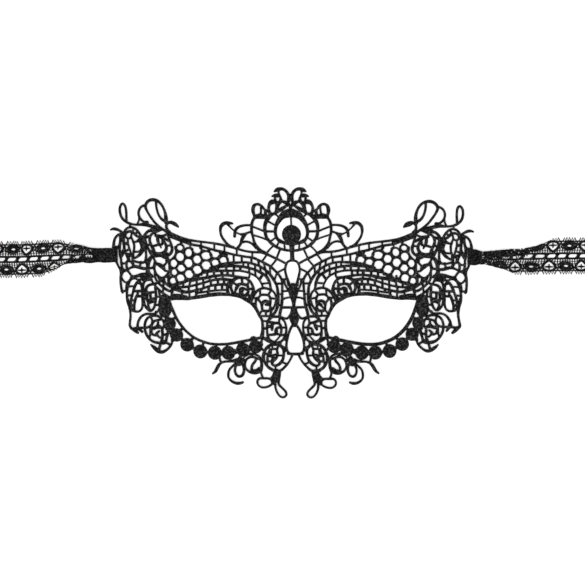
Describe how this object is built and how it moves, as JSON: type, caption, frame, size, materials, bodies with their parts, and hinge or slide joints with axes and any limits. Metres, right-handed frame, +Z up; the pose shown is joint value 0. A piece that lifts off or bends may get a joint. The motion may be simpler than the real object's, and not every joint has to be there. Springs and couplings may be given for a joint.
{
  "type": "lace eye mask",
  "caption": "Flat black openwork lace mask for the eyes, with almond eye openings, a crown on the brow and a gathered lace ribbon at each side to tie it on.",
  "frame": {"origin": "middle of the lying mask with its ribbons, on the surface it lies on", "axes": "+X along the ribbons to the right of the picture, +Y from the nose to the crown, +Z up from the surface"},
  "size_m": [0.443, 0.1388, 0.024],
  "materials": {
    "lace_thread": "black satin-stitched embroidery thread",
    "ribbon_thread": "matt black woven lace trim"
  },
  "bodies": {
    "root": {"lace_mask": "lace_thread", "ribbon_left": "ribbon_thread", "ribbon_right": "ribbon_thread"}
  },
  "joints": []
}
